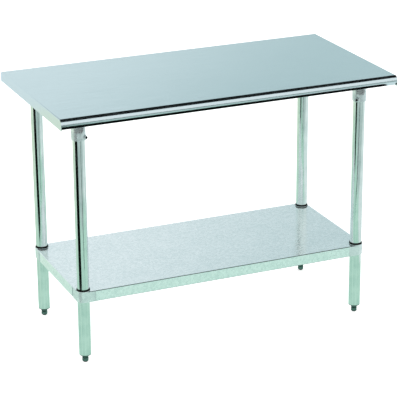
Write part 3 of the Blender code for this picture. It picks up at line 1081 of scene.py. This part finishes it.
for corner in cornerSides:
    label = labelOf(corner)
    centre = middleOf(f"leg_{corner}")
    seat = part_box(f"leg_{corner}")[0].z
    insertLow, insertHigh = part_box(f"foot_insert_{corner}")
    addPiece(f"footInsert{label}", insertMesh(insertLow.z, insertHigh.z, seat), [footFinish], "root",
             [f"foot_insert_{corner}"], (centre.x, centre.y, seat))
    low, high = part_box(f"foot_screw_{corner}")
    mesh = footScrewMesh(low.z, high.z, insertLow.z - footScrew["startGap"])
    addPiece(f"footScrew{label}", mesh, [footFinish], f"screw_{corner}",
             [f"foot_screw_{corner}"], (centre.x, centre.y, 0))
    low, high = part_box(f"foot_glide_{corner}")
    addPiece(f"footGlide{label}", glideMesh(high.x - low.x, high.z), [padFinish], f"glide_{corner}",
             [f"foot_glide_{corner}"], (centre.x, centre.y, 0))
print("feet made")


studio = {
    "floorSize": 60,
    "floor": "#f4f4f4",
    "floorGlow": 0.55,
    "floorRoughness": 0.9,
    "sky": "#ffffff",
    "skyStrength": 1.0,
    "keySize": 3.5,
    "keyPower": 90,
    "keyPlace": (-2.2, -2.6, 4.2),
    "keyAim": (0, 0, 0.4),
}

# sheets of card that only the metal's reflections see, as they stand round a shiny piece in a studio
cards = {
    "floorPaper": {
        "corners": [(-9, -16, -0.002), (12, -16, -0.002), (12, 9, -0.002), (-9, 9, -0.002)],
        "colours": ("#c9eadb", "#eef7e3"),
        "from": (0, 0.2, 0),
        "to": (-1.4, 2.2, 0),
    },
    "rightPaper": {
        "corners": [(0.75, -9, -0.001), (12, -9, -0.001), (12, 9, -0.001), (1, 9, -0.001), (1, -0.6,
                     -0.001),
                    (0.75, -1.2, -0.001)],
        "colours": ("#eef7f7",),
    },
    "frontPaper": {
        "corners": [(-6, -4.2, -0.0005), (8, -4.2, -0.0005), (8, -1.5, -0.0005), (-6, -1.5, -0.0005)],
        "colours": ("#c6d4d2",),
    },
    "frontShade": {
        "corners": [(-8, -14, 0.0004), (9, -14, 0.0004), (9, -4.2, 0.0004), (-8, -4.2, 0.0004)],
        "colours": ("#46534e",),
    },
    "leftFlag": {
        "corners": [(-1.17, -0.17, 0.0005), (-4.1, 0.03, 0.0005), (-2.9, -2.9, 0.0005), (-0.95, -0.71,
                     0.0005)],
        "colours": ("#070b09",),
    },
    "frontGap": {
        "corners": [(-0.36, -1.05, 0.0006), (-0.23, -1.05, 0.0006), (0.45, -3.6, 0.0006), (0, -3.6,
                     0.0006)],
        "colours": ("#25302f",),
    },
    "backSheet": {
        "corners": [(-9, 2.6, -0.01), (9, 2.6, -0.01), (9, 2.6, 2.5), (-9, 2.6, 2.5)],
        "colours": ("#ecf5f7", "#c8dadc"),
        "from": (-0.1, 2.6, 1.85),
        "to": (0.85, 2.6, 2.8),
    },
    "ceilingSheet": {
        "corners": [(-16, -4.4, 8.2), (16, -4.4, 8.2), (16, 12.5, 8.2), (-16, 12.5, 8.2)],
        "colours": ("#e3eaec", "#b9c6ca"),
        "from": (-1.2, 0, 8.2),
        "to": (1.4, 1.5, 8.2),
    },
    "rightFlag": {
        "corners": [(0.9, -4.4, 8), (7, -4.4, 8), (7, 12.5, 8), (0.9, 12.5, 8)],
        "colours": ("#020404",),
    },
    "farLeftFlag": {
        "corners": [(-7, -12.5, 8), (-2.4, -12.5, 8), (-2.4, 4.4, 8), (-7, 4.4, 8)],
        "colours": ("#0c1010",),
    },
    "frontUnderFlag": {
        "corners": [(-0.6, -0.375, 0.82), (0.6, -0.375, 0.82), (0.6, -0.25, 0.82), (-0.6, -0.25, 0.82)],
        "colours": ("#0b100f",),
    },
    "rearUnderFlag": {
        "corners": [(-0.6, 0.25, 0.82), (0.6, 0.25, 0.82), (0.6, 0.375, 0.82), (-0.6, 0.375, 0.82)],
        "colours": ("#0b100f",),
    },
}


def stagePlane(name, corners, finish):
    mesh = bpy.data.meshes.new(name)
    mesh.from_pydata(corners, [], [tuple(range(len(corners)))])
    mesh.materials.append(finish)
    plane = bpy.data.objects.new(name, mesh)
    bpy.context.scene.collection.objects.link(plane)
    return plane


def makeFloor():
    # seamless paper, lit through, so that it stays near white and takes only a faint shadow
    finish, tree, shader = newFinish("seamlessPaper", 0)
    shader.inputs["Base Color"].default_value = linearColour(studio["floor"])
    shader.inputs["Roughness"].default_value = studio["floorRoughness"]
    shader.inputs["Specular IOR Level"].default_value = 0
    shader.inputs["Emission Color"].default_value = (1, 1, 1, 1)
    shader.inputs["Emission Strength"].default_value = studio["floorGlow"]
    below = addNode(tree, "ShaderNodeNewGeometry").outputs["Backfacing"]
    clear = addNode(tree, "ShaderNodeBsdfTransparent")
    seen = addNode(tree, "ShaderNodeMixShader",
                   links={"Fac": below, 1: shader.outputs["BSDF"], 2: clear.outputs["BSDF"]})
    tree.links.new(seen.outputs["Shader"], tree.nodes["Material Output"].inputs["Surface"])
    half = studio["floorSize"] / 2
    floor = stagePlane("floor", [(-half, -half, 0), (half, -half, 0), (half, half, 0), (-half, half, 0)],
                       finish)
    floor.visible_glossy = False


def makeCard(name, look):
    # its colour runs from one place to another, as the light falls off across real card
    finish = bpy.data.materials.new(name)
    finish.use_nodes = True
    tree = finish.node_tree
    tree.nodes.remove(tree.nodes["Principled BSDF"])
    first, last = linearColour(look["colours"][0]), linearColour(look["colours"][-1])
    glow = addNode(tree, "ShaderNodeEmission", values={"Color": first, "Strength": 1})
    if first != last:
        start, end = Vector(look["from"]), Vector(look["to"])
        place = addNode(tree, "ShaderNodeTexCoord").outputs["Object"]
        moved = addNode(tree, "ShaderNodeVectorMath", {"operation": "SUBTRACT"}, {1: start}, {0: place})
        along = addNode(tree, "ShaderNodeVectorMath", {"operation": "DOT_PRODUCT"},
                        {1: (end - start) / (end - start).length_squared}, {0: moved.outputs["Vector"]})
        fade = addNode(tree, "ShaderNodeMapRange", {"interpolation_type": "SMOOTHSTEP"},
                       links={"Value": along.outputs["Value"]})
        colour = addNode(tree, "ShaderNodeMix", {"data_type": "RGBA"}, {6: first, 7: last},
                         {"Factor": fade.outputs["Result"]})
        tree.links.new(colour.outputs[2], glow.inputs["Color"])
    tree.links.new(glow.outputs["Emission"], tree.nodes["Material Output"].inputs["Surface"])
    card = stagePlane(name, look["corners"], finish)
    card.visible_camera = False
    card.visible_diffuse = False
    card.visible_shadow = False
    card.visible_transmission = False


def makeLight():
    world = bpy.data.worlds.new("softTent")
    world.use_nodes = True
    back = world.node_tree.nodes["Background"]
    back.inputs["Color"].default_value = linearColour(studio["sky"])
    back.inputs["Strength"].default_value = studio["skyStrength"]
    bpy.context.scene.world = world
    light = bpy.data.lights.new("softKey", "AREA")
    light.size = studio["keySize"]
    light.energy = studio["keyPower"]
    key = bpy.data.objects.new("softKey", light)
    key.location = studio["keyPlace"]
    key.rotation_euler = (Vector(studio["keyAim"]) - key.location).to_track_quat("-Z", "Y").to_euler()
    key.visible_glossy = False
    key.visible_camera = False
    bpy.context.scene.collection.objects.link(key)


view = {
    "azimuth": -23.36,
    "elevation": 20.18,
    "roll": -0.41,
    "target": (0.0058, 0, 0.4345),
    "distance": 6.3044,
    "lens": 160.1,
    "sensor": 36,
}


def makeCamera():
    a, e = math.radians(view["azimuth"]), math.radians(view["elevation"])
    back = Vector((math.sin(a) * math.cos(e), -math.cos(a) * math.cos(e), math.sin(e)))
    data = bpy.data.cameras.new("camera")
    data.lens = view["lens"]
    data.sensor_width = view["sensor"]
    camera = bpy.data.objects.new("camera", data)
    camera.location = Vector(view["target"]) + back * view["distance"]
    roll = Matrix.Rotation(math.radians(view["roll"]), 4, "Z")
    camera.rotation_euler = ((-back).to_track_quat("-Z", "Y").to_matrix().to_4x4() @ roll).to_euler()
    bpy.context.scene.collection.objects.link(camera)
    bpy.context.scene.camera = camera


makeFloor()
for name, look in cards.items():
    makeCard(name, look)
makeLight()
makeCamera()
bpy.context.scene.view_settings.view_transform = "Standard"
print("studio made")
